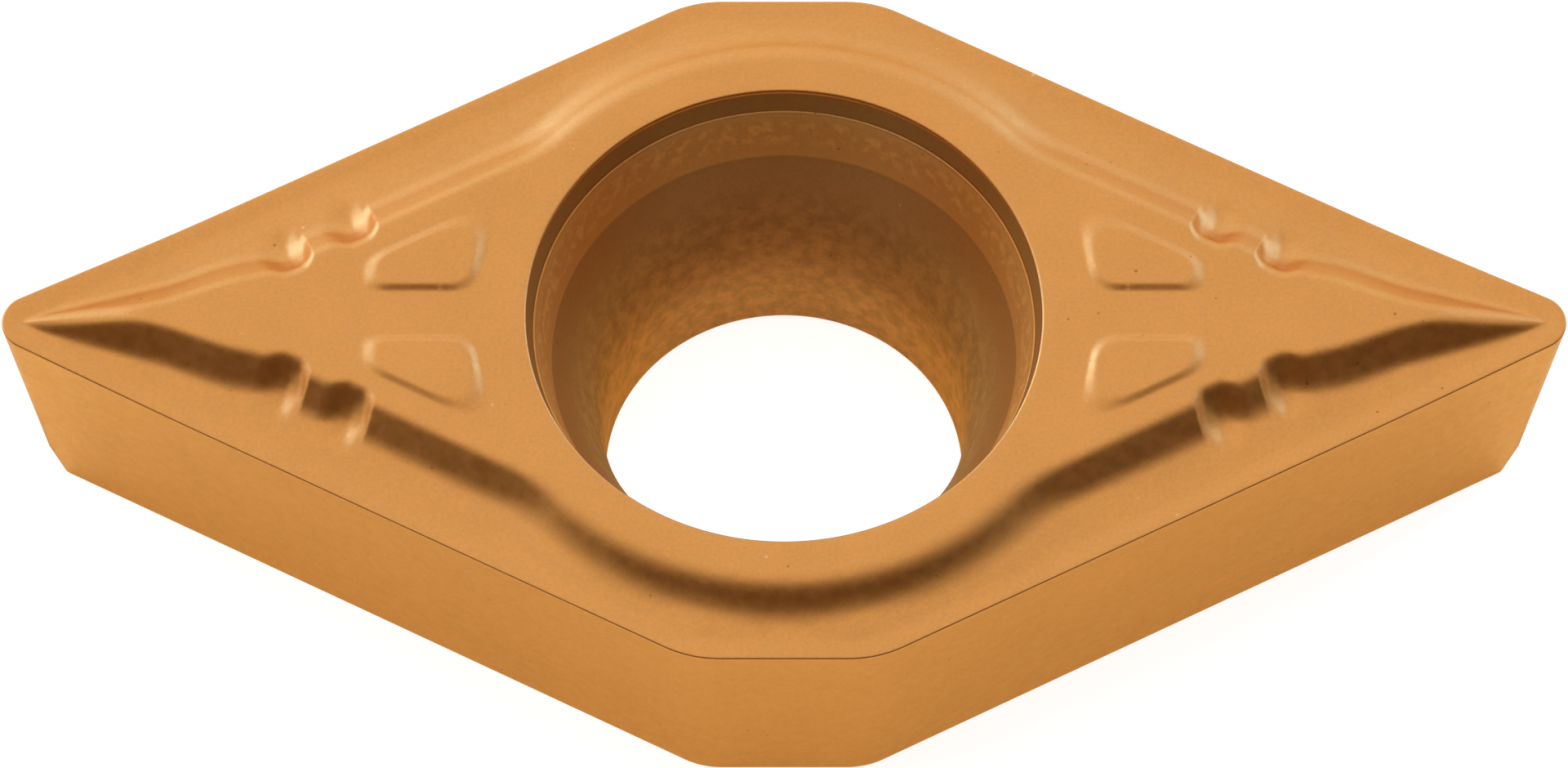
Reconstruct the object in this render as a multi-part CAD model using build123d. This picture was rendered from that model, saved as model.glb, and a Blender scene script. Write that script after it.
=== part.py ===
from build123d import *
from math import acos, cos, radians, sin, sqrt, tan
import os

# An indexable carbide turning insert, pressed and sintered in one piece.
# It is a 55 degree rhombus with relief on its flanks, a countersunk screw hole
# and a chip breaker moulded round its top. Lengths are in millimetres and
# angles in degrees. The origin is the middle of the seating face, +Z runs up
# through the hole, and X runs from one cutting nose to the other.

# Body
inscribed_circle = 9.525
nose_height = 3.97
nose_angle = 55.0
relief_angle = 7.0
nose_radius = 0.40
flats_across = 9.525
flat_blend_radius = 1.5

# Rake face: the edge dips behind each nose, and the floor falls inwards
edge_drop = 0.09
nose_ramp_length = 2.1
rake_angle = 4.0
corner_edge_drop = 0.07
floor_fall_angle = 0.66

# Island in the middle, whose walls curl the chip
island_rise = 0.21
wall_angle = 42.0
wall_inset = 1.25
wall_root = 0.04
bend_radius = 1.0
ring_land = 0.60

# Island beside a nose: places along the edge from its sharp corner, and in from it
tip_back = 1.50
shoulder_along = 2.34
shoulder_inset = 1.014
bulge_along = 3.0
bulge_inset = 1.09

# Scoops pressed into each straight wall
scoops_per_wall = 2
first_scoop_end = 4.31
scoop_pitch = 0.91
scoop_retreat = 0.34
scoop_bottom = 0.16
scoop_return = 0.22
scoop_depth = 0.125

# Ridge from the island's tip towards each nose, measured back from the nose
ridge_start = 0.30
ridge_middle = 0.85
ridge_middle_rise = 0.13
ridge_start_half_width = 0.04
ridge_middle_half_width = 0.24
ridge_back_half_width = 0.30
ridge_crest_half_width = 0.03
ridge_overlap = 0.45
ridge_root = 0.30

# Screw hole, from the seating face up to the rim
bore_radius = 2.30
bore_length = 1.00
bore_edge_break = 0.05
throat_radius = 2.94
throat_depth = 1.10
seat_radius = 3.13
seat_depth = 0.36
seat_ledge = 0.03
rim_radius = 3.235
rim_round = 0.04

# Four low pads on the island
pad_rise = 0.05
pad_wall = 0.09
pad_root = 0.02
pad_half_gap = 0.365
pad_hole_gap = 0.695
pad_length = 1.27
pad_edge_gap = 0.41
pad_back_round = 0.17
pad_hole_round = 0.30
pad_point_round = 0.35

# Heights and places that follow from the sizes above
half_angle = radians(nose_angle / 2)
relief = tan(radians(relief_angle))
half_circle = inscribed_circle / 2
half_diagonal = half_circle / sin(half_angle)
middle_along = half_diagonal * cos(half_angle)
nose_centre = half_diagonal - nose_radius / sin(half_angle)
nose_tip = nose_centre + nose_radius
island_top = nose_height + island_rise
edge_height = nose_height - edge_drop
corner_edge_height = nose_height - corner_edge_drop
floor_fall = tan(radians(floor_fall_angle))
floor_low = corner_edge_height - floor_fall * flats_across / 2
ramp_foot = nose_tip - nose_ramp_length
ramp_slope = edge_drop / nose_ramp_length
ring_radius = rim_radius + ring_land
clear_above = 1.0
reach = 4 * half_diagonal

# The most of a pad's side that the rounding of one corner may take
fillet_share = 0.9


def edge_point(along, inset, height):
    """A point beside the left near edge: along it from its sharp corner, and in from it."""
    x = along * cos(half_angle) + inset * sin(half_angle) - half_diagonal
    y = inset * cos(half_angle) - along * sin(half_angle)
    return Vector(x, y, height)


def across(point):
    """The same point on the right hand side."""
    return Vector(-point.X, point.Y, point.Z)


def closed_loft(lower, upper):
    return Solid.make_loft([lower, upper], ruled=True)


def block_beyond(point, outward):
    """A large block on the outer side of a plane."""
    block = Box(reach, reach, reach, align=(Align.CENTER, Align.CENTER, Align.MIN))
    return Plane(origin=point, z_dir=outward) * block


def beyond_flank(direction_x, direction_y, distance):
    """All that lies outside one flank, which leans inwards below its cutting edge."""
    point = (direction_x * distance, direction_y * distance, nose_height)
    return block_beyond(point, (direction_x, direction_y, -relief))


def corner_round(x, y, radius, direction_x, direction_y, half_turn):
    """What comes off a corner, to leave a cone about an upright axis between its two flanks."""
    chord = cos(half_turn)
    middle = (x + direction_x * radius * chord, y + direction_y * radius * chord, nose_height)
    beyond = block_beyond(middle, (direction_x, direction_y, -relief * chord))
    apex_height = nose_height - radius / relief
    height = island_top + reach - apex_height
    cone = Cone(0, height * relief, height, align=(Align.CENTER, Align.CENTER, Align.MIN))
    return beyond - Pos(x, y, apex_height) * cone


def blank():
    """The body before its top is shaped."""
    top = island_top + clear_above
    body = Box(reach, reach, top, align=(Align.CENTER, Align.CENTER, Align.MIN))
    flat_distance = flats_across / 2
    flat_end = (half_circle - flat_distance * cos(half_angle)) / sin(half_angle)
    blend_x = flat_end - flat_blend_radius * tan(half_angle / 2)
    blend_y = flat_distance - flat_blend_radius
    blend_turn = half_angle / 2
    nose = corner_round(-nose_centre, 0, nose_radius, -1, 0, radians(90) - half_angle)
    rounds = [nose, mirror(nose, about=Plane.YZ)]
    for near in (-1, 1):
        body = body - beyond_flank(0, near, flat_distance)
        towards = (-sin(blend_turn), near * cos(blend_turn))
        blend = corner_round(-blend_x, near * blend_y, flat_blend_radius, *towards, blend_turn)
        rounds += [blend, mirror(blend, about=Plane.YZ)]
        for side in (-1, 1):
            body = body - beyond_flank(side * sin(half_angle), near * cos(half_angle), half_circle)
    for corner in rounds:
        body = body - corner
    return body


def space_above(point, slope_x, slope_y):
    """All that lies above a sloping plane."""
    return block_beyond(point, (-slope_x, -slope_y, 1))


def rake_space():
    """All that lies above the rake faces, the nose ramps and the floor."""
    rake = tan(radians(rake_angle))
    planes = []
    for side in (-1, 1):
        planes.append(((side * ramp_foot, 0, edge_height), side * ramp_slope, 0))
        planes.append(((0, side * flats_across / 2, corner_edge_height), 0, side * floor_fall))
        sharp_corner = (side * half_diagonal, 0, edge_height)
        for near in (-1, 1):
            planes.append((sharp_corner, side * rake * sin(half_angle), near * rake * cos(half_angle)))
    space = space_above(*planes[0])
    for plane in planes[1:]:
        space = space & space_above(*plane)
    return space


def wall_points(height, run):
    """The wall's corners from the island's tip to its last scoop, left near quarter."""
    shoulder = edge_point(shoulder_along, shoulder_inset, height)
    tip_x = tip_back - nose_tip
    lean = -shoulder.Y / (shoulder.X - tip_x)
    shoulder_out = edge_point(shoulder_along, shoulder_inset - run, height)
    points = [Vector(shoulder_out.X + shoulder_out.Y / lean, 0, height), shoulder_out]
    points.append(edge_point(bulge_along, bulge_inset - run, height))
    for count in range(scoops_per_wall):
        scoop_end = first_scoop_end + count * scoop_pitch
        bottom_end = scoop_end - scoop_return
        bottom_start = bottom_end - scoop_bottom
        points.append(edge_point(bottom_start - scoop_retreat, wall_inset - run, height))
        points.append(edge_point(bottom_start, wall_inset + scoop_depth - run, height))
        points.append(edge_point(bottom_end, wall_inset + scoop_depth - run, height))
        points.append(edge_point(scoop_end, wall_inset - run, height))
    return points


def wall_outline(height):
    """The island's outline at one height: it widens downwards by the slope of its walls."""
    run = (island_top - height) / tan(radians(wall_angle))
    points = wall_points(height, run)
    wall_distance = half_circle - wall_inset

    def from_middle(along, out):
        return edge_point(middle_along - along, half_circle - out, height)

    if wall_distance >= ring_radius:
        points.append(Vector(0, -(wall_distance + run) / cos(half_angle), height))
        edges = [Edge.make_line(a, b) for a, b in zip(points, points[1:])]
        points.reverse()
        edges += [Edge.make_line(across(a), across(b)) for a, b in zip(points, points[1:])]
        return Wire(edges + [edge.rotate(Axis.Z, 180) for edge in edges])

    centre_out = wall_distance + bend_radius
    centre_along = sqrt((ring_radius + bend_radius) ** 2 - centre_out ** 2)
    ring_share = (ring_radius + run) / (ring_radius + bend_radius)
    half_turn = acos(centre_out / (ring_radius + bend_radius)) / 2
    bend_run = bend_radius - run
    bend_start = from_middle(centre_along, wall_distance + run)
    bend_end = from_middle(centre_along * ring_share, centre_out * ring_share)
    bend_middle = from_middle(centre_along - bend_run * sin(half_turn), centre_out - bend_run * cos(half_turn))
    ring_middle = Vector(0, -ring_radius - run, height)

    points.append(bend_start)
    edges = [Edge.make_line(a, b) for a, b in zip(points, points[1:])]
    edges.append(Edge.make_three_point_arc(bend_start, bend_middle, bend_end))
    edges.append(Edge.make_three_point_arc(bend_end, ring_middle, across(bend_end)))
    edges.append(Edge.make_three_point_arc(across(bend_end), across(bend_middle), across(bend_start)))
    points.reverse()
    edges += [Edge.make_line(across(a), across(b)) for a, b in zip(points, points[1:])]
    edges += [edge.rotate(Axis.Z, 180) for edge in edges]
    return Wire(edges)


def ridge():
    """The crest that climbs from the left nose to the island."""

    def floor_height(x):
        return max(floor_low, edge_height + (x - ramp_foot) * ramp_slope)

    def section(x, half_width, crest_half_width, crest):
        floor = floor_height(x)
        right = [(half_width, floor - ridge_root), (half_width, floor), (crest_half_width, crest)]
        left = [(-y, z) for y, z in reversed(right)]
        return Wire.make_polygon([(-x, y, z) for y, z in right + left], close=True)

    start = nose_tip - ridge_start
    middle = nose_tip - ridge_middle
    back = nose_tip - tip_back
    crest = ridge_crest_half_width
    under_top = island_top - pad_root / 2
    sections = [
        section(start, ridge_start_half_width, crest / 2, floor_height(start) + crest / 2),
        section(middle, ridge_middle_half_width, crest, floor_height(middle) + ridge_middle_rise),
        section(back, ridge_back_half_width, crest, under_top),
        section(back - ridge_overlap, ridge_back_half_width, crest, under_top),
    ]
    return Solid.make_loft(sections, ruled=True)


def rounded(outline, corner, radius):
    """An outline with one corner rounded, as far as the corner's two sides have room."""
    vertex = min(outline.vertices(), key=lambda v: (Vector(v) - corner).length)
    sides = sorted(outline.edges(), key=lambda edge: edge.distance_to(vertex))[:2]
    ways = []
    for side in sides:
        starts_here = (side @ 0 - corner).length < (side @ 1 - corner).length
        ways.append(side % 0 if starts_here else -(side % 1))
    inside = radians(ways[0].get_angle(ways[1]))
    room = fillet_share * min(side.length for side in sides) * tan(inside / 2)
    return outline.fillet_2d(min(radius, room), [vertex])


def pad_outline(grow, height):
    """One pad's outline, in the left near quarter, moved outwards by an amount."""
    hole_side = rim_radius + pad_hole_gap - grow
    inner_y = -(pad_half_gap - grow)
    edge_distance = half_circle - wall_inset - pad_edge_gap + grow
    narrow_y = -(pad_half_gap + pad_back_round + grow)
    narrow_x = -(edge_distance + narrow_y * cos(half_angle)) / sin(half_angle)
    back_x = max(-(rim_radius + pad_hole_gap + pad_length + grow), narrow_x)
    inner_point = Vector(-sqrt(hole_side ** 2 - inner_y ** 2), inner_y, height)
    turn = acos(edge_distance / hole_side)
    out_angle = radians(90) - half_angle - turn
    outer_point = Vector(-hole_side * cos(out_angle), -hole_side * sin(out_angle), height)
    middle_angle = (out_angle + acos(-inner_point.X / hole_side)) / 2
    arc_middle = Vector(-hole_side * cos(middle_angle), -hole_side * sin(middle_angle), height)
    back_inner = Vector(back_x, inner_y, height)
    back_outer = Vector(back_x, -(edge_distance + back_x * sin(half_angle)) / cos(half_angle), height)
    outline = Wire([
        Edge.make_three_point_arc(inner_point, arc_middle, outer_point),
        Edge.make_line(outer_point, back_outer),
        Edge.make_line(back_outer, back_inner),
        Edge.make_line(back_inner, inner_point),
    ])
    rounds = [
        (outer_point, pad_point_round),
        (back_outer, pad_back_round),
        (back_inner, pad_back_round),
        (inner_point, pad_hole_round),
    ]
    for corner, radius in rounds:
        outline = rounded(outline, corner, radius + grow)
    return outline


def pads():
    """The four pads, one in each quarter."""
    flare = pad_root * pad_wall / pad_rise
    base = pad_outline(pad_wall / 2 + flare, island_top - pad_root)
    top = pad_outline(-pad_wall / 2, island_top + pad_rise)
    near_left = closed_loft(base, top)
    near = [near_left, mirror(near_left, about=Plane.YZ)]
    return near + [mirror(pad, about=Plane.XZ) for pad in near]


def hole():
    """The screw hole, turned about Z: bore, throat, seat, ledge and rounded rim."""
    seat_height = island_top - seat_depth
    throat_height = island_top - throat_depth
    mouth = bore_radius + bore_edge_break
    rim_outer = rim_radius + rim_round
    over = island_top + clear_above
    throat = Edge.make_tangent_arc(
        Vector(bore_radius, 0, bore_length), Vector(0, 0, 1), Vector(throat_radius, 0, throat_height)
    )
    rim = Edge.make_tangent_arc(
        Vector(rim_outer, 0, island_top), Vector(-1, 0, 0), Vector(rim_radius, 0, island_top - rim_round)
    )
    lower = [(0, -clear_above), (mouth, -clear_above), (mouth, 0), (bore_radius, bore_edge_break)]
    lower.append((bore_radius, bore_length))
    upper = [(throat_radius, throat_height), (seat_radius, seat_height)]
    upper += [(seat_radius + seat_ledge, seat_height), (rim_radius, island_top - rim_round)]
    outer = [(rim_outer, island_top), (rim_outer, over), (0, over), (0, -clear_above)]
    edges = [throat, rim]
    for run in (lower, upper, outer):
        points = [Vector(x, 0, z) for x, z in run]
        edges += [Edge.make_line(a, b) for a, b in zip(points, points[1:])]
    return revolve(Face(Wire(edges)), axis=Axis.Z)


def insert():
    """The whole insert: a blank with its rake cut, an island, ridges, pads and a hole."""
    whole_blank = blank()
    lower_body = whole_blank - rake_space()
    left_ridge = ridge()
    island = closed_loft(wall_outline(floor_low - wall_root), wall_outline(island_top))
    island = island + left_ridge + mirror(left_ridge, about=Plane.YZ)
    body = lower_body + (island & whole_blank)
    for pad in pads():
        body = body + pad
    return body - hole()


os.makedirs("parts", exist_ok=True)
export_step(insert(), "parts/insert_body.step")
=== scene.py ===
import math

import bpy
import numpy as np
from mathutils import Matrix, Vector
from mathutils.geometry import delaunay_2d_cdt


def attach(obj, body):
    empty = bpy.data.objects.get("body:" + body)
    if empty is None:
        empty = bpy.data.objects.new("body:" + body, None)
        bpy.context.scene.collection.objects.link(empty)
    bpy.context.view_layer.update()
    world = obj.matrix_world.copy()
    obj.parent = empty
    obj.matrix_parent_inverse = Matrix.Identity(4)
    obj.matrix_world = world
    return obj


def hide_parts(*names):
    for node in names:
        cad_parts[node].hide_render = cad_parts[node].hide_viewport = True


MM = 0.001

# Blank, in millimetres. The outline is laid out at the height of the noses.
circle_radius = 4.7625
nose_height = 3.97
half_angle = math.radians(27.5)
relief_angle = math.radians(7)
nose_radius = 0.40
flat_distance = 4.7625
blend_radius = 1.5
hone = 0.035
hone_margin = 0.02
bottom_edge = 0.02

# Rake face
edge_height = 3.88
edge_land = 0.06
groove_depth = 0.015
groove_at = 0.30
foot_rise = 0.06
foot_at = 0.90
foot_rise_limit = 1.3
foot_rise_power = 1.5
ramp_start = 7.748
ramp_slope = 0.04286
flat_edge_height = 3.90
flat_fall = math.tan(math.radians(0.66))
edge_blend = 0.02

# Island and its wall
island_top = 4.18
wall_slope = math.tan(math.radians(33.5))
wall_inset = 1.25
ring_radius = 3.835
bend_radius = 2.3
crest_round = 0.055
foot_round = 0.06
foot_round_share = 0.5

# What the wall round the hole has more of than the straight wall, and where that fades out
ring_crest_round = 0.06
ring_foot_round = 0.05
ring_steeper = 0.05
ring_foot_rise = 0.045
ring_rise_reach = 0.60
ring_soft_end = 3.9
ring_soft_reach = 1.8

# Where the wall near the noses gets steeper, and by how much
nose_steeper = 0.06
nose_wall_start = 6.6
nose_wall_reach = 1.2

# Half-width of the island's top at stations along X, from the tip of the ridge to the straight wall
crest_stations = (9.75, 9.54, 9.1, 8.74, 8.45, 8.11, 7.77, 7.43, 7.15, 6.91, 6.56, 6.2)
crest_half_widths = (0.01, 0.03, 0.06, 0.075, 0.08, 0.103, 0.181, 0.300, 0.405, 0.485, 0.575, None)
ridge_tip = 9.54
ridge_tip_height = 3.958
ridge_slope = 0.16
ridge_blend = 0.03

# Scoops in the wall
scoop_count = 2
scoop_end = 4.29
scoop_pitch = 0.91
scoop_length = 0.70
scoop_in = 0.34
scoop_out = 0.10
scoop_out_ends = 0.05
scoop_middle = 1.09
scoop_reach = 0.21
scoop_depth = 0.125
scoop_lean = 0.15
scoop_step_round = 0.35

# What the scoops dig out of the floor at the wall's foot, and out of its crest
scoop_bowl_length = 0.62
scoop_bowl_in = 0.34
scoop_bowl_out = 0.22
scoop_bowl_back = 0.07
scoop_bowl_across = 0.32
scoop_bowl_level = 0.25
scoop_bowl_middle = 0.95
scoop_bowl_depth = 0.042
scoop_lip_across = 0.20
scoop_lip_depth = 0.02

# Pads
pad_rise = 0.044
pad_wall = 0.14
pad_inner = 0.365
pad_nose_side = 5.22
pad_nose_lean = 0.65
pad_hole_side = 3.93
pad_inset = 1.66
pad_point_round = 0.68
pad_hole_round = 0.32
pad_nose_round = 0.17

# Screw hole
rim_outer = 3.275
rim_radius = 3.235
ledge_radius = 3.16
ledge_flare_out = 0.012
ledge_flare_up = 0.03
ledge_corner_in = 0.008
ledge_corner_up = 0.004
seat_radius = 3.13
seat_height = 3.82
seat_bevel = 0.006
throat_radius = 2.94
throat_height = 3.08
bore_radius = 2.30
bore_length = 1.00
bore_edge = 0.05

# Mesh. The counts are of points on the nose, the edge, the blend and the flat.
outline_counts = (26, 150, 14, 12)
short_axis_points = 60
long_axis_points = 140
coarsest_cell = 0.16
cell_levels = 4
bend_tolerance = 0.0011
lattice_length = 12
lattice_width = 6
probe_share = 0.7
clear_share = 0.45
hone_steps = 5
flank_row = 1.5
rim_steps = 6
seat_steps = 5
throat_steps = 24
hole_steps = 288
least_width = 1e-6
same_point = 1e-7
merge_distance = 1e-7
seam_distance = 2e-7
smooth_below = math.radians(32)

# Finish. A colour is red, green, blue and alpha. A noise is scale and detail, and at times roughness.
coating = (0.690, 0.297, 0.074, 1)
grazing_tint = (0.95, 0.78, 0.49, 1)
pit_colour = (0.20, 0.085, 0.03, 1)
dust_colour = (0.95, 0.62, 0.32, 1)
pit_strength = 0.6
dust_strength = 0.5
speck_edge = 2.0
fine_noise = (22000, 2.0)
cloud_noise = (900, 3.0)
fine_share = 0.7
cloud_share = 0.3
grain_strength = 0.34
satin_noise = (6000, 3.0)
satin_roughness = (0.33, 0.41)
hole_roughness = 0.15
noise_span = (0.3, 0.7)

# Colours of the hole, with painted shade and painted light among them
# Painted shade at the top of the throat, giving way to painted light lower down towards the bore
throat_painted_shade = (0.53, 0.285, 0.10, 1)
bore_painted_light = (0.88, 0.49, 0.15, 1)
seat_colour = (0.78, 0.43, 0.145, 1)
patch_colour = (1.0, 0.60, 0.20, 1)
# Painted shade on the wall of the hole above the ledge
rim_painted_shade = (0.46, 0.255, 0.085, 1)
# Painted light on the low sides of the hole, warmer and brighter, and painted shade on its higher sides,
# both multiplied in
low_side_painted_light = (1.13, 1.02, 0.62, 1)
high_side_painted_shade = (0.88, 0.62, 0.34, 1)
hole_noise = (5200, 3.0, 0.6)
hole_cloud_tones = (0.86, 1.14)
patch_noise = (6500, 3.0)
patch_span = (0.45, 0.64)
patch_strength = 0.7
dull_shares = (0.76, 0.95)

# Where each tone of the hole, painted shade and light among them, begins and is full, as radii, heights
# and distances in millimetres
hole_edge = (rim_outer - 0.015, rim_radius - 0.005)
hole_top = (island_top - 0.02, island_top - 0.06)
bore_light_fade = (2.4, 0.6)
cloud_fade = (3.0, 2.2)
seat_fade = (throat_height - 0.02, throat_height + 0.02)
patch_foot = (3.2, 3.4)
patch_top = (3.76, 3.66)
rim_shade_fade = (seat_height - 0.005, seat_height + 0.015)
ledge_foot = (seat_height - 0.02, seat_height - 0.005)
ledge_top = (seat_height + 0.03, seat_height + 0.015)
side_fade = (1.0, 2.6)
side_painted_fade = (2.2, 3.0)
dull_fade = (0.7, 2.2)

# Light. A zone runs from where its part of the light begins to where it is full, along one axis.
white = (1, 1, 1, 1)
black = (0, 0, 0, 1)
front_light = (0.15, 0.098, 0.055, 1)
back_glow = (0.10, 0.19, 0.42, 1)
left_window = (0.75, 1.75, 4.6, 1)
right_window = (0.5, 1.15, 3.1, 1)
right_shade = 0.45
open_zone = (-0.38, 0.05)
shade_zone = (0.0, 0.9)
sky_zone = (-0.05, 0.1)
behind_zone = (0.28, 0.46)
left_zone = (-0.3, -0.5)
right_zone = (0.3, 0.5)
window_top = (0.85, 0.7)
glow_top = (0.7, 0.5)
floor_seen = 0.85
floor_mirrored = 0.6

cos_h = math.cos(half_angle)
sin_h = math.sin(half_angle)
tan_h = math.tan(half_angle)
tan_relief = math.tan(relief_angle)
corner_x = circle_radius / sin_h
nose_centre = (circle_radius - nose_radius) / sin_h
flat_end = corner_x - flat_distance / tan_h
blend_x = flat_end - blend_radius * math.tan(half_angle / 2)
blend_y = flat_distance - blend_radius
edge_azimuth = math.pi / 2 - half_angle


def along(x, y):
    """How far a point lies along the cutting edge, from its sharp corner."""
    return (corner_x - x) * cos_h + y * sin_h


def inward(x, y):
    """How far a point lies inside the cutting edge."""
    return (corner_x - x) * sin_h - y * cos_h


def soft_min(a, b, width):
    """The lower of two heights, blended where they are within a width of each other."""
    width = np.maximum(width, least_width)
    overlap = np.maximum(width - np.abs(a - b), 0) / width
    return np.minimum(a, b) - overlap * overlap * width / 4


def soft_max(a, b, width):
    """The higher of two heights, blended the same way."""
    return -soft_min(-a, -b, width)


def smooth_step(value):
    value = np.clip(value, 0, 1)
    return value * value * (3 - 2 * value)


def hermite(x, stations, values):
    """A smooth curve through the values at the stations, which run upwards."""
    stations = np.asarray(stations)
    values = np.asarray(values)
    slopes = np.gradient(values, stations)
    i = np.clip(np.searchsorted(stations, x) - 1, 0, len(stations) - 2)
    span = stations[i + 1] - stations[i]
    u = np.clip((x - stations[i]) / span, 0, 1)
    start = (1 + 2 * u) * (1 - u) ** 2 * values[i] + u * (1 - u) ** 2 * span * slopes[i]
    end = u * u * (3 - 2 * u) * values[i + 1] + u * u * (u - 1) * span * slopes[i + 1]
    return start + end


def straight_crest(x):
    """Half the width of the island's top where its wall runs along the cutting edge."""
    return (corner_x - x) * tan_h - wall_inset / cos_h


def crest_half_width(x):
    """Half the width of the island's top across the long diagonal."""
    widths = [straight_crest(s) if w is None else w for s, w in zip(crest_stations, crest_half_widths)]
    horn = hermite(x, crest_stations[::-1], widths[::-1])
    return np.where(x < crest_stations[-1], straight_crest(x), horn)


def outside_crest(x, y):
    """Distance outwards from the upper edge of the island's wall, negative on the island."""
    step = 0.01
    slope = (crest_half_width(x + step) - crest_half_width(x - step)) / (2 * step)
    horn = (y - crest_half_width(x)) / np.sqrt(1 + slope * slope)
    radius = np.hypot(x, y)
    ring = radius - ring_radius
    reach = circle_radius - wall_inset + bend_radius
    swing = math.sqrt((ring_radius + bend_radius) ** 2 - reach ** 2)
    centre_x = reach * sin_h + swing * cos_h
    centre_y = reach * cos_h - swing * sin_h
    bend = bend_radius - np.hypot(x - centre_x, y - centre_y)
    past_ring = centre_x * y - centre_y * x > 0
    past_straight = (x - centre_x) * cos_h - (y - centre_y) * sin_h > 0
    return np.where(past_ring, ring, np.where(past_straight, horn, bend))


def scoop_shift(x, y):
    """How far the scoops set the wall back. Each begins gently and ends in a steep step."""
    t = inward(x, y)
    s = along(x, y) - scoop_lean * (wall_inset - t)
    from_middle = np.clip(((t - scoop_middle) / scoop_reach) ** 2, 0, 1)
    out = scoop_out + scoop_out_ends * from_middle
    shift = np.zeros_like(x)
    for number in range(scoop_count):
        end = scoop_end + scoop_pitch * number
        rise = smooth_step((s - end + scoop_length) / scoop_in)
        fall = (end - s) / out
        shift = np.maximum(shift, scoop_depth * soft_min(rise, fall, scoop_step_round))
    return shift


def scoop_bowls(x, y):
    """How deep the scoops dig into the floor at the foot of the wall, and into its crest."""
    t = inward(x, y)
    s = along(x, y) - scoop_lean * (wall_inset - t)
    floor_part = smooth_step(1 + scoop_bowl_level - np.abs(t - scoop_bowl_middle) / scoop_bowl_across)
    lip_part = smooth_step(1 - np.abs(t - wall_inset) / scoop_lip_across)
    depth = np.zeros_like(x)
    for number in range(scoop_count):
        end = scoop_end + scoop_pitch * number
        rise = smooth_step((s - end + scoop_bowl_length) / scoop_bowl_in)
        floor_end = smooth_step((end - scoop_bowl_back - s) / scoop_bowl_out)
        lip_end = smooth_step((end - s) / scoop_bowl_out)
        dug = scoop_bowl_depth * floor_part * floor_end + scoop_lip_depth * lip_part * lip_end
        depth = np.maximum(depth, dug * rise)
    return depth


def pad_height(x, y):
    """How far the low pad stands up, with its wall centred on its outline."""
    outside = soft_max(pad_hole_side - np.hypot(x, y), pad_inset - inward(x, y), pad_point_round)
    outside = soft_max(outside, pad_inner - y, pad_hole_round)
    outside = soft_max(outside, pad_nose_lean * (x - pad_nose_side), pad_nose_round)
    return pad_rise * smooth_step(0.5 - outside / pad_wall)


def floor_height(x, y):
    """Height of the rake face, with its shallow groove behind the edge and its rise to the wall."""
    depth = inside_outline(x, y)
    groove = smooth_step((depth - edge_land) / (groove_at - edge_land))
    rise = np.clip((depth - groove_at) / (foot_at - groove_at), 0, foot_rise_limit) ** foot_rise_power
    flat = flat_edge_height - flat_fall * (flat_distance - y)
    ramp = edge_height + ramp_slope * (x - ramp_start)
    edge = soft_max(soft_max(edge_height, flat, edge_blend), ramp, edge_blend)
    return edge - groove_depth * groove + foot_rise * rise


def top_height(x, y):
    """Height of the upper side of the insert at points of one quarter."""
    outside = outside_crest(x, y)
    softer = smooth_step((ring_soft_end - x) / ring_soft_reach)
    slope = wall_slope + ring_steeper * softer
    slope = slope + nose_steeper * smooth_step((x - nose_wall_start) / nose_wall_reach)
    ring_rise = ring_foot_rise * smooth_step(inside_outline(x, y) / ring_rise_reach)
    floor = floor_height(x, y) + softer * ring_rise
    crest = soft_min(island_top, ridge_tip_height + ridge_slope * (ridge_tip - x), ridge_blend)
    wall = crest - slope * (outside + scoop_shift(x, y))
    island = soft_min(crest, wall, crest_round + ring_crest_round * softer)
    foot = np.clip(foot_round_share * (crest - floor), 0, foot_round + ring_foot_round * softer)
    return soft_max(floor, island, foot) - scoop_bowls(x, y) + pad_height(x, y)


def outline(growth):
    """Points of one quarter of the outline, grown outwards, from the nose to the middle of the flat."""
    nose_count, edge_count, blend_count, flat_count = outline_counts
    radius = max(0.0, nose_radius + growth)
    centre = (circle_radius + growth - radius) / sin_h
    turn = np.linspace(0, edge_azimuth, nose_count)
    nose = np.stack([centre + radius * np.cos(turn), radius * np.sin(turn)], axis=1)
    turn = np.linspace(edge_azimuth, math.pi / 2, blend_count)
    around = blend_radius + growth
    blend = np.stack([blend_x + around * np.cos(turn), blend_y + around * np.sin(turn)], axis=1)
    share = np.linspace(0, 1, edge_count)[1:-1, None]
    edge = nose[-1] * (1 - share) + blend[0] * share
    share = np.linspace(0, 1, flat_count)[1:, None]
    flat = blend[-1] * (1 - share) + np.array([0.0, flat_distance + growth]) * share
    return np.concatenate([nose, edge, blend, flat])


def outline_growth(height):
    """How far the leaning flank stands outside the outline at a height, negative below the noses."""
    return (height - nose_height) * tan_relief


def edge_heights():
    """Height of the cutting edge at each point of the outline."""
    points = outline(0.0)
    return floor_height(points[:, 0], points[:, 1])


def outline_at(growths):
    """The outline with a growth of its own at each point."""
    base = outline(0.0)
    step = 0.05
    away = (base - outline(-step)) / step
    return base + away * growths[:, None]


def inside_outline(x, y):
    """Distance inside the outline."""
    line = inward(x, y)
    flat = flat_distance - y
    distance = np.minimum(line, flat)
    from_nose = np.hypot(x - nose_centre, y)
    in_nose = (x - nose_centre) * cos_h - y * sin_h > 0
    distance = np.where(in_nose, nose_radius - from_nose, distance)
    from_blend = np.hypot(x - blend_x, y - blend_y)
    in_blend = (x > blend_x) & ((x - blend_x) * cos_h - (y - blend_y) * sin_h < 0)
    return np.where(in_blend, blend_radius - from_blend, distance)


def surface_bend(x, y, size):
    """How far the surface departs from flat across each cell, along four directions."""
    middle = top_height(x, y)
    bend = np.zeros_like(x)
    for turn in range(4):
        dx = math.cos(turn * math.pi / 4) * size * probe_share
        dy = math.sin(turn * math.pi / 4) * size * probe_share
        pair = top_height(x + dx, y + dy) + top_height(x - dx, y - dy)
        bend = np.maximum(bend, np.abs(pair - 2 * middle))
    return bend


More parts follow.
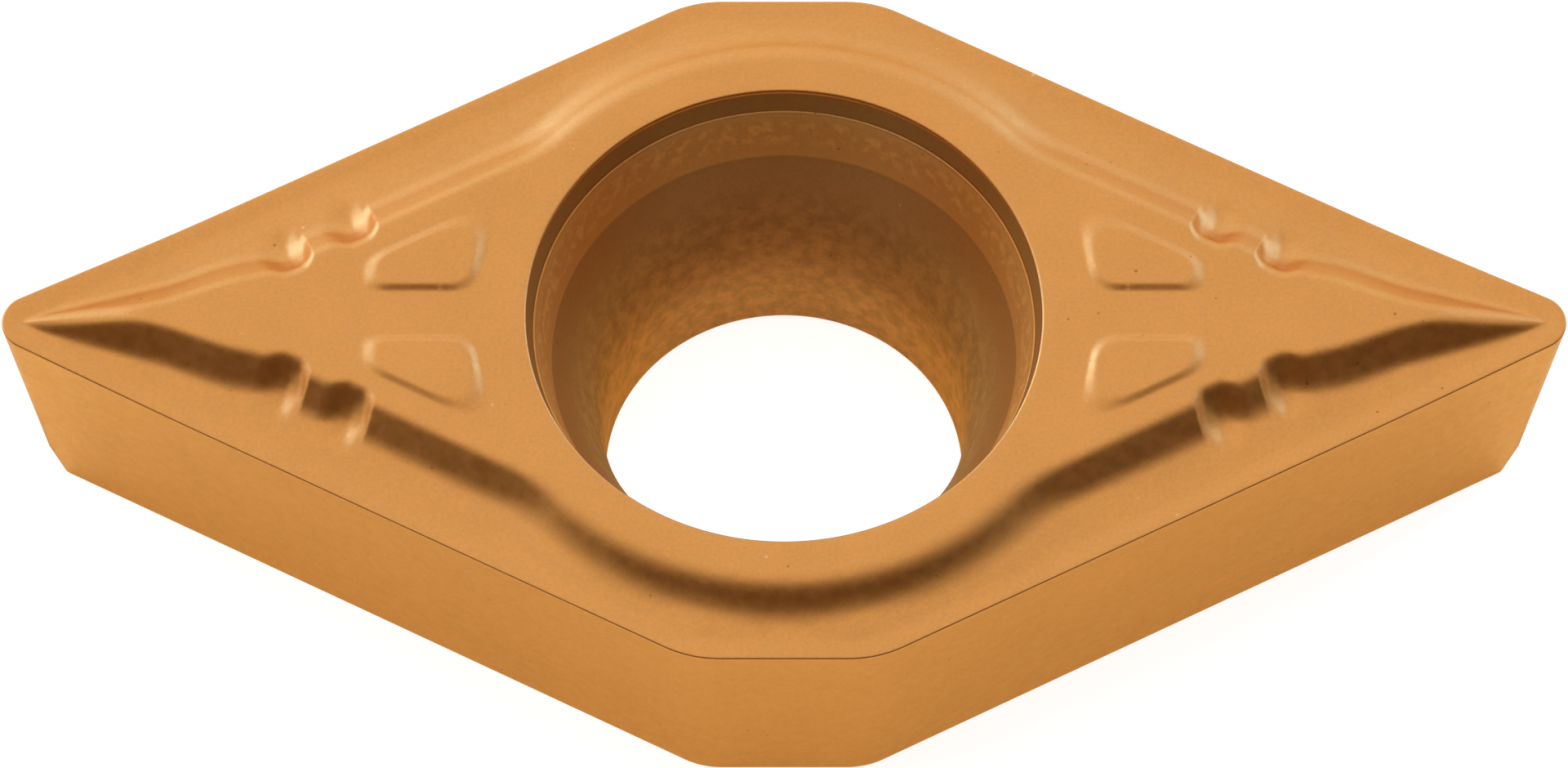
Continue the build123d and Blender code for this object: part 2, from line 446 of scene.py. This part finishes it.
def relief_points():
    """Points of a lattice along the cutting edge, closer together where the surface bends."""
    size = coarsest_cell
    s = np.arange(0, lattice_length, size) + size / 2
    t = np.arange(0, lattice_width, size) + size / 2
    cells = np.stack(np.meshgrid(s, t), axis=-1).reshape(-1, 2)
    chosen = []
    for level in range(cell_levels):
        x = corner_x - (cells[:, 0] * cos_h + cells[:, 1] * sin_h)
        y = cells[:, 0] * sin_h - cells[:, 1] * cos_h
        depth = inside_outline(x, y)
        radius = np.hypot(x, y)
        near = (x > -size) & (y > -size) & (radius > rim_outer - size) & (depth > -size)
        cells, x, y = cells[near], x[near], y[near]
        depth, radius = depth[near], radius[near]
        split = (surface_bend(x, y, size) > bend_tolerance) & (level < cell_levels - 1)
        gap = clear_share * size
        clear = (x > gap) & (y > gap) & (radius > rim_outer + gap)
        clear = clear & (depth > gap + hone + 2 * hone_margin)
        kept = ~split & clear
        chosen.append(np.stack([x[kept], y[kept]], axis=1))
        quarter = size / 4
        sides = (-quarter, quarter)
        parents = cells[split]
        cells = np.concatenate([parents + (a, b) for a in sides for b in sides])
        size = size / 2
    return np.concatenate(chosen)


def quarter_circle(radius):
    """Points of a quarter circle from the Y axis to the X axis, in step with the hole's."""
    turn = np.linspace(math.pi / 2, 0, hole_steps // 4 + 1)
    points = np.stack([radius * np.cos(turn), radius * np.sin(turn)], axis=1)
    points[0, 0] = 0
    points[-1, 1] = 0
    return points


def triangulated(border, inner_points):
    """Triangles over the area inside a border, through the points that lie in it."""
    points = np.concatenate([border, inner_points])
    corners = [Vector(p) for p in points]
    ring = list(range(len(border)))
    inside_only = 1
    flat, _, faces, _, _, _ = delaunay_2d_cdt(corners, [], [ring], inside_only, same_point)
    return np.array([tuple(p) for p in flat]), [tuple(face) for face in faces]


def top_border(inner):
    """Border of one quarter of the top: a line inside the hone, the axes and the hole's rim."""
    down = np.linspace(inner[-1, 1], rim_outer, short_axis_points)[1:-1]
    down_points = np.stack([np.zeros_like(down), down], axis=1)
    out = np.linspace(rim_outer, inner[0, 0], long_axis_points)[1:-1]
    out_points = np.stack([out, np.zeros_like(out)], axis=1)
    return np.concatenate([inner, down_points, quarter_circle(rim_outer), out_points])


def side_rows():
    """Rows of points from inside the hone, round it and down the flank to the seating face."""
    heights = edge_heights()
    growths = outline_growth(heights)
    inner = outline_at(growths - hone - hone_margin)
    start = outline_at(growths - hone)
    corner = outline_at(growths)
    below = outline_at(outline_growth(heights - hone))
    settled = outline_at(outline_growth(heights - hone - hone_margin))

    rows = [np.column_stack([inner, top_height(inner[:, 0], inner[:, 1])])]
    start = np.column_stack([start, top_height(start[:, 0], start[:, 1])])
    sharp = np.column_stack([corner, heights])
    end = np.column_stack([below, heights - hone])
    for step in range(hone_steps + 1):
        u = step / hone_steps
        rows.append((1 - u) ** 2 * start + 2 * u * (1 - u) * sharp + u * u * end)
    rows.append(np.column_stack([settled, heights - hone - hone_margin]))
    vanish = nose_height - nose_radius / tan_relief
    for height in (vanish + flank_row, vanish, bottom_edge + hone_margin, bottom_edge):
        level = outline(outline_growth(height))
        rows.append(np.column_stack([level, np.full(len(level), height)]))
    last = outline(outline_growth(bottom_edge) - bottom_edge)
    rows.append(np.column_stack([last, np.zeros(len(last))]))
    return rows


def quarter_mesh():
    """Vertices and faces of one quarter of the top, its honed edge, its flank and its seating face."""
    rows = side_rows()
    flat, faces = triangulated(top_border(rows[0][:, :2]), relief_points())
    z = top_height(flat[:, 0], flat[:, 1])
    vertices = [tuple(p) for p in np.column_stack([flat, z])]

    count = len(rows[0])
    first = len(vertices)
    for row in rows:
        vertices += [tuple(p) for p in row]
    for level in range(len(rows) - 1):
        for i in range(count - 1):
            a = first + level * count + i
            faces.append((a, a + 1, a + 1 + count, a + count))

    last = rows[-1][:, :2]
    nose_count = outline_counts[0]
    foot = np.concatenate([last[nose_count - 1:], quarter_circle(bore_radius + bore_edge)])
    flat, seat = triangulated(foot, np.zeros((0, 2)))
    first = len(vertices)
    vertices += [(x, y, 0.0) for x, y in flat]
    faces += [tuple(first + i for i in reversed(face)) for face in seat]
    return vertices, faces


def clear_selection():
    if bpy.context.object and bpy.context.object.mode != "OBJECT":
        bpy.ops.object.mode_set(mode="OBJECT")
    bpy.ops.object.select_all(action="DESELECT")


def make_active(piece):
    clear_selection()
    piece.select_set(True)
    bpy.context.view_layer.objects.active = piece


def new_object(name, vertices, edges, faces):
    """An object in metres from points in millimetres."""
    mesh = bpy.data.meshes.new(name)
    scaled = [tuple(c * MM for c in v) for v in vertices]
    mesh.from_pydata(scaled, edges, faces)
    piece = bpy.data.objects.new(name, mesh)
    bpy.context.scene.collection.objects.link(piece)
    return piece


def hole_profile():
    """The hole's section from the rim down to the seating face, as radius and height."""
    profile = []
    rim_round = rim_outer - rim_radius
    for step in range(rim_steps + 1):
        turn = math.pi / 2 * step / rim_steps
        r = rim_outer - rim_round * math.sin(turn)
        z = island_top - rim_round * (1 - math.cos(turn))
        profile.append((r, z))
    profile.append((ledge_radius + ledge_flare_out, seat_height + ledge_flare_up))
    profile.append((ledge_radius, seat_height + ledge_corner_up))
    profile.append((ledge_radius - ledge_corner_in, seat_height))
    profile.append((seat_radius + seat_bevel, seat_height))
    profile.append((seat_radius, seat_height - seat_bevel))
    for step in range(1, seat_steps):
        share = step / seat_steps
        r = seat_radius + (throat_radius - seat_radius) * share
        z = seat_height + (throat_height - seat_height) * share
        profile.append((r, z))
    across = throat_radius - bore_radius
    up = throat_height - bore_length
    bow = (across ** 2 + up ** 2) / (2 * across)
    sweep = math.asin(up / bow)
    for step in range(throat_steps + 1):
        turn = sweep * (1 - step / throat_steps)
        profile.append((bore_radius + bow * (1 - math.cos(turn)), bore_length + bow * math.sin(turn)))
    profile.append((bore_radius, bore_edge))
    profile.append((bore_radius + bore_edge, 0))
    return profile


def spun_hole():
    """The wall of the hole, which is its section spun round the upright axis."""
    profile = hole_profile()
    vertices = [(r, 0, z) for r, z in profile]
    edges = [(i, i + 1) for i in range(len(profile) - 1)]
    piece = new_object("hole", vertices, edges, [])
    make_active(piece)
    bpy.ops.object.mode_set(mode="EDIT")
    bpy.ops.mesh.select_all(action="SELECT")
    bpy.ops.mesh.spin(steps=hole_steps, angle=2 * math.pi, center=(0, 0, 0), axis=(0, 0, 1))
    bpy.ops.mesh.select_all(action="SELECT")
    bpy.ops.mesh.remove_doubles(threshold=merge_distance)
    bpy.ops.object.mode_set(mode="OBJECT")
    return piece


def make_insert():
    """The whole insert, a quarter mirrored both ways and closed by the wall of its hole."""
    vertices, faces = quarter_mesh()
    piece = new_object("coated_insert", vertices, [], faces)
    make_active(piece)
    mirror = piece.modifiers.new("halves", "MIRROR")
    mirror.use_axis = (True, True, False)
    mirror.merge_threshold = merge_distance
    bpy.ops.object.modifier_apply(modifier="halves")
    hole = spun_hole()
    make_active(piece)
    hole.select_set(True)
    bpy.ops.object.join()
    bpy.ops.object.mode_set(mode="EDIT")
    bpy.ops.mesh.select_all(action="SELECT")
    bpy.ops.mesh.remove_doubles(threshold=seam_distance)
    bpy.ops.mesh.select_all(action="SELECT")
    bpy.ops.mesh.normals_make_consistent(inside=False)
    bpy.ops.object.mode_set(mode="OBJECT")
    bpy.ops.object.shade_smooth_by_angle(angle=smooth_below)
    return piece


def add_node(tree, kind, **values):
    """A node of a kind, with values for its inputs by name."""
    node = tree.nodes.new(kind)
    for name, value in values.items():
        node.inputs[name.replace("_", " ")].default_value = value
    return node


def mixed(tree, factor, first, second, blend="MIX"):
    """A colour between two colours, or their product or sum, as far as the factor says."""
    node = tree.nodes.new("ShaderNodeMix")
    node.data_type = "RGBA"
    node.blend_type = blend
    for name, value in (("Factor", factor), ("A", first), ("B", second)):
        if isinstance(value, bpy.types.NodeSocket):
            tree.links.new(value, node.inputs[name])
        else:
            node.inputs[name].default_value = value
    return node.outputs["Result"]


def calculated(tree, operation, *terms):
    node = tree.nodes.new("ShaderNodeMath")
    node.operation = operation
    for i, term in enumerate(terms):
        if isinstance(term, bpy.types.NodeSocket):
            tree.links.new(term, node.inputs[i])
        else:
            node.inputs[i].default_value = term
    return node.outputs[0]


def product(tree, first, second):
    return calculated(tree, "MULTIPLY", first, second)


def ranged(tree, value, low, high, start=0.0, end=1.0):
    """A value taken smoothly from one range to another."""
    node = add_node(tree, "ShaderNodeMapRange", From_Min=low, From_Max=high, To_Min=start, To_Max=end)
    node.interpolation_type = "SMOOTHSTEP"
    tree.links.new(value, node.inputs["Value"])
    return node.outputs["Result"]


def faded(tree, place, ends, start=0.0, end=1.0):
    """A value that changes smoothly between two places, which are given in millimetres."""
    return ranged(tree, place, ends[0] * MM, ends[1] * MM, start, end)


def noise(tree, place, scale, detail, roughness=0.55):
    node = add_node(tree, "ShaderNodeTexNoise", Scale=scale, Detail=detail, Roughness=roughness)
    tree.links.new(place, node.inputs["Vector"])
    return node.outputs["Fac"]


def new_group(name, inputs, outputs):
    """A node group with its named inputs and outputs."""
    group = bpy.data.node_groups.new(name, "ShaderNodeTree")
    for direction, sockets in (("INPUT", inputs), ("OUTPUT", outputs)):
        for label, kind in sockets:
            group.interface.new_socket(label, in_out=direction, socket_type="NodeSocket" + kind)
    return group, group.nodes.new("NodeGroupInput").outputs, group.nodes.new("NodeGroupOutput").inputs


def grain_group():
    """Fine pressed grain: a value about 1 that varies over the surface, and a height."""
    sockets = [("Place", "Vector"), ("Strength", "Float")]
    group, given, result = new_group("pressed_grain", sockets, [("Tone", "Float"), ("Height", "Float")])
    fine = noise(group, given["Place"], *fine_noise)
    cloud = noise(group, given["Place"], *cloud_noise)
    both = calculated(group, "ADD", product(group, fine, fine_share), product(group, cloud, cloud_share))
    swing = product(group, calculated(group, "SUBTRACT", both, 0.5), given["Strength"])
    group.links.new(calculated(group, "ADD", swing, 1.0), result["Tone"])
    group.links.new(fine, result["Height"])
    return group


def speck_group():
    """Sparse small round specks, 1 inside a speck and 0 outside."""
    sockets = [("Place", "Vector"), ("Scale", "Float"), ("Size", "Float"), ("Share", "Float")]
    group, given, result = new_group("sparse_specks", sockets, [("Mask", "Float")])
    cells = group.nodes.new("ShaderNodeTexVoronoi")
    group.links.new(given["Place"], cells.inputs["Vector"])
    group.links.new(given["Scale"], cells.inputs["Scale"])
    apart = group.nodes.new("ShaderNodeSeparateColor")
    group.links.new(cells.outputs["Color"], apart.inputs[0])
    chosen = calculated(group, "LESS_THAN", apart.outputs[0], given["Share"])
    reach = product(group, given["Size"], apart.outputs[1])
    outside = calculated(group, "DIVIDE", cells.outputs["Distance"], reach)
    soft = product(group, calculated(group, "SUBTRACT", 1.0, outside), speck_edge)
    soft = calculated(group, "MAXIMUM", soft, 0.0)
    soft = calculated(group, "MINIMUM", soft, 1.0)
    group.links.new(product(group, soft, chosen), result["Mask"])
    return group


def placed_group(tree, group, place, **values):
    """A node group placed in a material, with values for its inputs by name."""
    node = tree.nodes.new("ShaderNodeGroup")
    node.node_tree = group
    tree.links.new(place, node.inputs["Place"])
    for name, value in values.items():
        node.inputs[name].default_value = value
    return node.outputs


def hole_tones_and_painted_light(tree, place, x, z):
    """Colour of the hole: cloudy below and patchy on the seat, with painted light paler towards the bore
    and on the low sides, and painted shade at the top of the throat, on the higher sides and dark at the
    rim.
    """
    # Painted shade darkens the top of the throat and painted light brightens the bore below it
    tone = mixed(tree, faded(tree, z, bore_light_fade), throat_painted_shade, bore_painted_light)
    cloudy = ranged(tree, noise(tree, place, *hole_noise), *noise_span, *hole_cloud_tones)
    clouded = mixed(tree, 1.0, tone, cloudy, "MULTIPLY")
    tone = mixed(tree, faded(tree, z, cloud_fade), tone, clouded)
    tone = mixed(tree, faded(tree, z, seat_fade), tone, seat_colour)
    patches = ranged(tree, noise(tree, place, *patch_noise), *patch_span)
    patches = product(tree, patches, faded(tree, z, patch_foot))
    patches = product(tree, patches, faded(tree, z, patch_top))
    tone = mixed(tree, product(tree, patches, patch_strength), tone, patch_colour)
    # Painted shade darkens the wall above the ledge
    tone = mixed(tree, faded(tree, z, rim_shade_fade), tone, rim_painted_shade)
    # Painted light warms and brightens the low sides and painted shade darkens the higher sides
    to_side = faded(tree, calculated(tree, "ABSOLUTE", x), side_fade)
    side_painted_tint = mixed(tree, faded(tree, z, side_painted_fade), low_side_painted_light, high_side_painted_shade)
    return mixed(tree, to_side, tone, side_painted_tint, "MULTIPLY")


def coated_carbide():
    """Satin orange-gold coating on pressed and ground carbide, with painted shade and light in the
    colour of its hole.
    """
    material = bpy.data.materials.new("coated_carbide")
    material.use_nodes = True
    tree = material.node_tree
    shader = tree.nodes["Principled BSDF"]
    shader.inputs["Specular IOR Level"].default_value = 0
    shader.inputs["Specular Tint"].default_value = grazing_tint
    place = tree.nodes.new("ShaderNodeTexCoord").outputs["Object"]
    apart = tree.nodes.new("ShaderNodeSeparateXYZ")
    tree.links.new(place, apart.inputs[0])
    x, y, z = apart.outputs
    from_axis = calculated(tree, "ADD", product(tree, x, x), product(tree, y, y))
    from_axis = calculated(tree, "SQRT", from_axis)

    grain = placed_group(tree, grain_group(), place, Strength=grain_strength)
    specks = speck_group()
    pits = placed_group(tree, specks, place, Scale=3400, Size=0.10, Share=0.5)["Mask"]
    dust = placed_group(tree, specks, place, Scale=4100, Size=0.12, Share=0.12)["Mask"]

    colour = mixed(tree, 1.0, coating, grain["Tone"], "MULTIPLY")
    in_hole = product(tree, faded(tree, from_axis, hole_edge), faded(tree, z, hole_top))
    # The hole's colour holds painted shade and painted light as well as its own tones
    hole_colour_and_shade = mixed(tree, 1.0, hole_tones_and_painted_light(tree, place, x, z), grain["Tone"], "MULTIPLY")
    colour = mixed(tree, in_hole, colour, hole_colour_and_shade)
    colour = mixed(tree, product(tree, pits, pit_strength), colour, pit_colour)
    colour = mixed(tree, product(tree, dust, dust_strength), colour, dust_colour)
    tree.links.new(colour, shader.inputs["Base Color"])

    rough = ranged(tree, noise(tree, place, *satin_noise), *noise_span, *satin_roughness)
    rough = calculated(tree, "ADD", rough, product(tree, in_hole, hole_roughness))
    tree.links.new(rough, shader.inputs["Roughness"])
    ledge = product(tree, faded(tree, z, ledge_foot), faded(tree, z, ledge_top))
    dull = product(tree, in_hole, calculated(tree, "SUBTRACT", 1.0, ledge))
    dull = product(tree, dull, faded(tree, z, dull_fade, *dull_shares))
    tree.links.new(calculated(tree, "SUBTRACT", 1.0, dull), shader.inputs["Metallic"])
    relief = add_node(tree, "ShaderNodeBump", Strength=0.25, Distance=0.002 * MM)
    tree.links.new(grain["Height"], relief.inputs["Height"])
    tree.links.new(relief.outputs["Normal"], shader.inputs["Normal"])
    return material


def floor_lift(tree):
    """What the floor adds on the rays that show a background, and less of it where metal mirrors it."""
    path = tree.nodes.new("ShaderNodeLightPath").outputs
    mirrored = calculated(tree, "MAXIMUM", path["Is Glossy Ray"], path["Is Transmission Ray"])
    seen = product(tree, path["Is Camera Ray"], floor_seen)
    return calculated(tree, "MAXIMUM", seen, product(tree, mirrored, floor_mirrored))


def floor():
    """A plain pale floor, far larger than the insert."""
    clear_selection()
    bpy.ops.mesh.primitive_plane_add(size=2.0, location=(0, 0, 0))
    plane = bpy.context.object
    plane.name = "floor"
    material = bpy.data.materials.new("pale_floor")
    material.use_nodes = True
    tree = material.node_tree
    shader = tree.nodes["Principled BSDF"]
    shader.inputs["Base Color"].default_value = (0.8, 0.8, 0.8, 1)
    shader.inputs["Roughness"].default_value = 0.9
    shader.inputs["Specular IOR Level"].default_value = 0
    shader.inputs["Emission Color"].default_value = white
    tree.links.new(floor_lift(tree), shader.inputs["Emission Strength"])
    plane.data.materials.append(material)


def studio():
    """Soft white light, dimmer on the right, dark and warm in front, with cool windows low behind."""
    world = bpy.data.worlds.new("studio")
    bpy.context.scene.world = world
    world.use_nodes = True
    tree = world.node_tree
    background = tree.nodes["Background"]
    apart = tree.nodes.new("ShaderNodeSeparateXYZ")
    tree.links.new(tree.nodes.new("ShaderNodeTexCoord").outputs["Generated"], apart.inputs[0])
    x, y, z = apart.outputs
    light = mixed(tree, ranged(tree, y, *open_zone), front_light, white)
    light = mixed(tree, ranged(tree, x, *shade_zone, 0.0, right_shade), light, black)
    behind = product(tree, ranged(tree, y, *behind_zone), ranged(tree, z, *sky_zone))
    left = product(tree, ranged(tree, x, *left_zone), ranged(tree, z, *window_top))
    right = product(tree, ranged(tree, x, *right_zone), ranged(tree, z, *window_top))
    back = product(tree, behind, ranged(tree, z, *glow_top))
    light = mixed(tree, back, light, back_glow, "ADD")
    light = mixed(tree, product(tree, behind, left), light, left_window, "ADD")
    light = mixed(tree, product(tree, behind, right), light, right_window, "ADD")
    path = tree.nodes.new("ShaderNodeLightPath").outputs
    tree.links.new(mixed(tree, path["Is Camera Ray"], light, white), background.inputs["Color"])
    background.inputs["Strength"].default_value = 1.0


def camera():
    """The view that fits the insert's outline, its cutting edges and its hole in the photo."""
    distance = 0.13145
    elevation = math.radians(61.447)
    tilt_up = math.radians(0.497)
    data = bpy.data.cameras.new("camera")
    data.sensor_width = 36
    data.lens = 233.6
    data.clip_start = 0.01
    view = bpy.data.objects.new("camera", data)
    view.location = (0, -distance * math.cos(elevation), distance * math.sin(elevation))
    view.rotation_euler = (math.pi / 2 - elevation + tilt_up, 0, 0)
    bpy.context.scene.collection.objects.link(view)
    bpy.context.scene.camera = view


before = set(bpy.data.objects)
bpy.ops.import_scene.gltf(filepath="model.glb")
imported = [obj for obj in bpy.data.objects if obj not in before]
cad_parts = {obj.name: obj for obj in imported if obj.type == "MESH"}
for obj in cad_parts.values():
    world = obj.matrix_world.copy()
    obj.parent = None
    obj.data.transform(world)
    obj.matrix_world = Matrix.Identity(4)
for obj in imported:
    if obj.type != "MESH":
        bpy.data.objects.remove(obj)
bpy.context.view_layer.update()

piece = make_insert()
piece.data.materials.append(coated_carbide())
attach(piece, "root")
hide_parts("insert_body")
floor()
studio()
camera()
bpy.context.scene.view_settings.view_transform = "Standard"
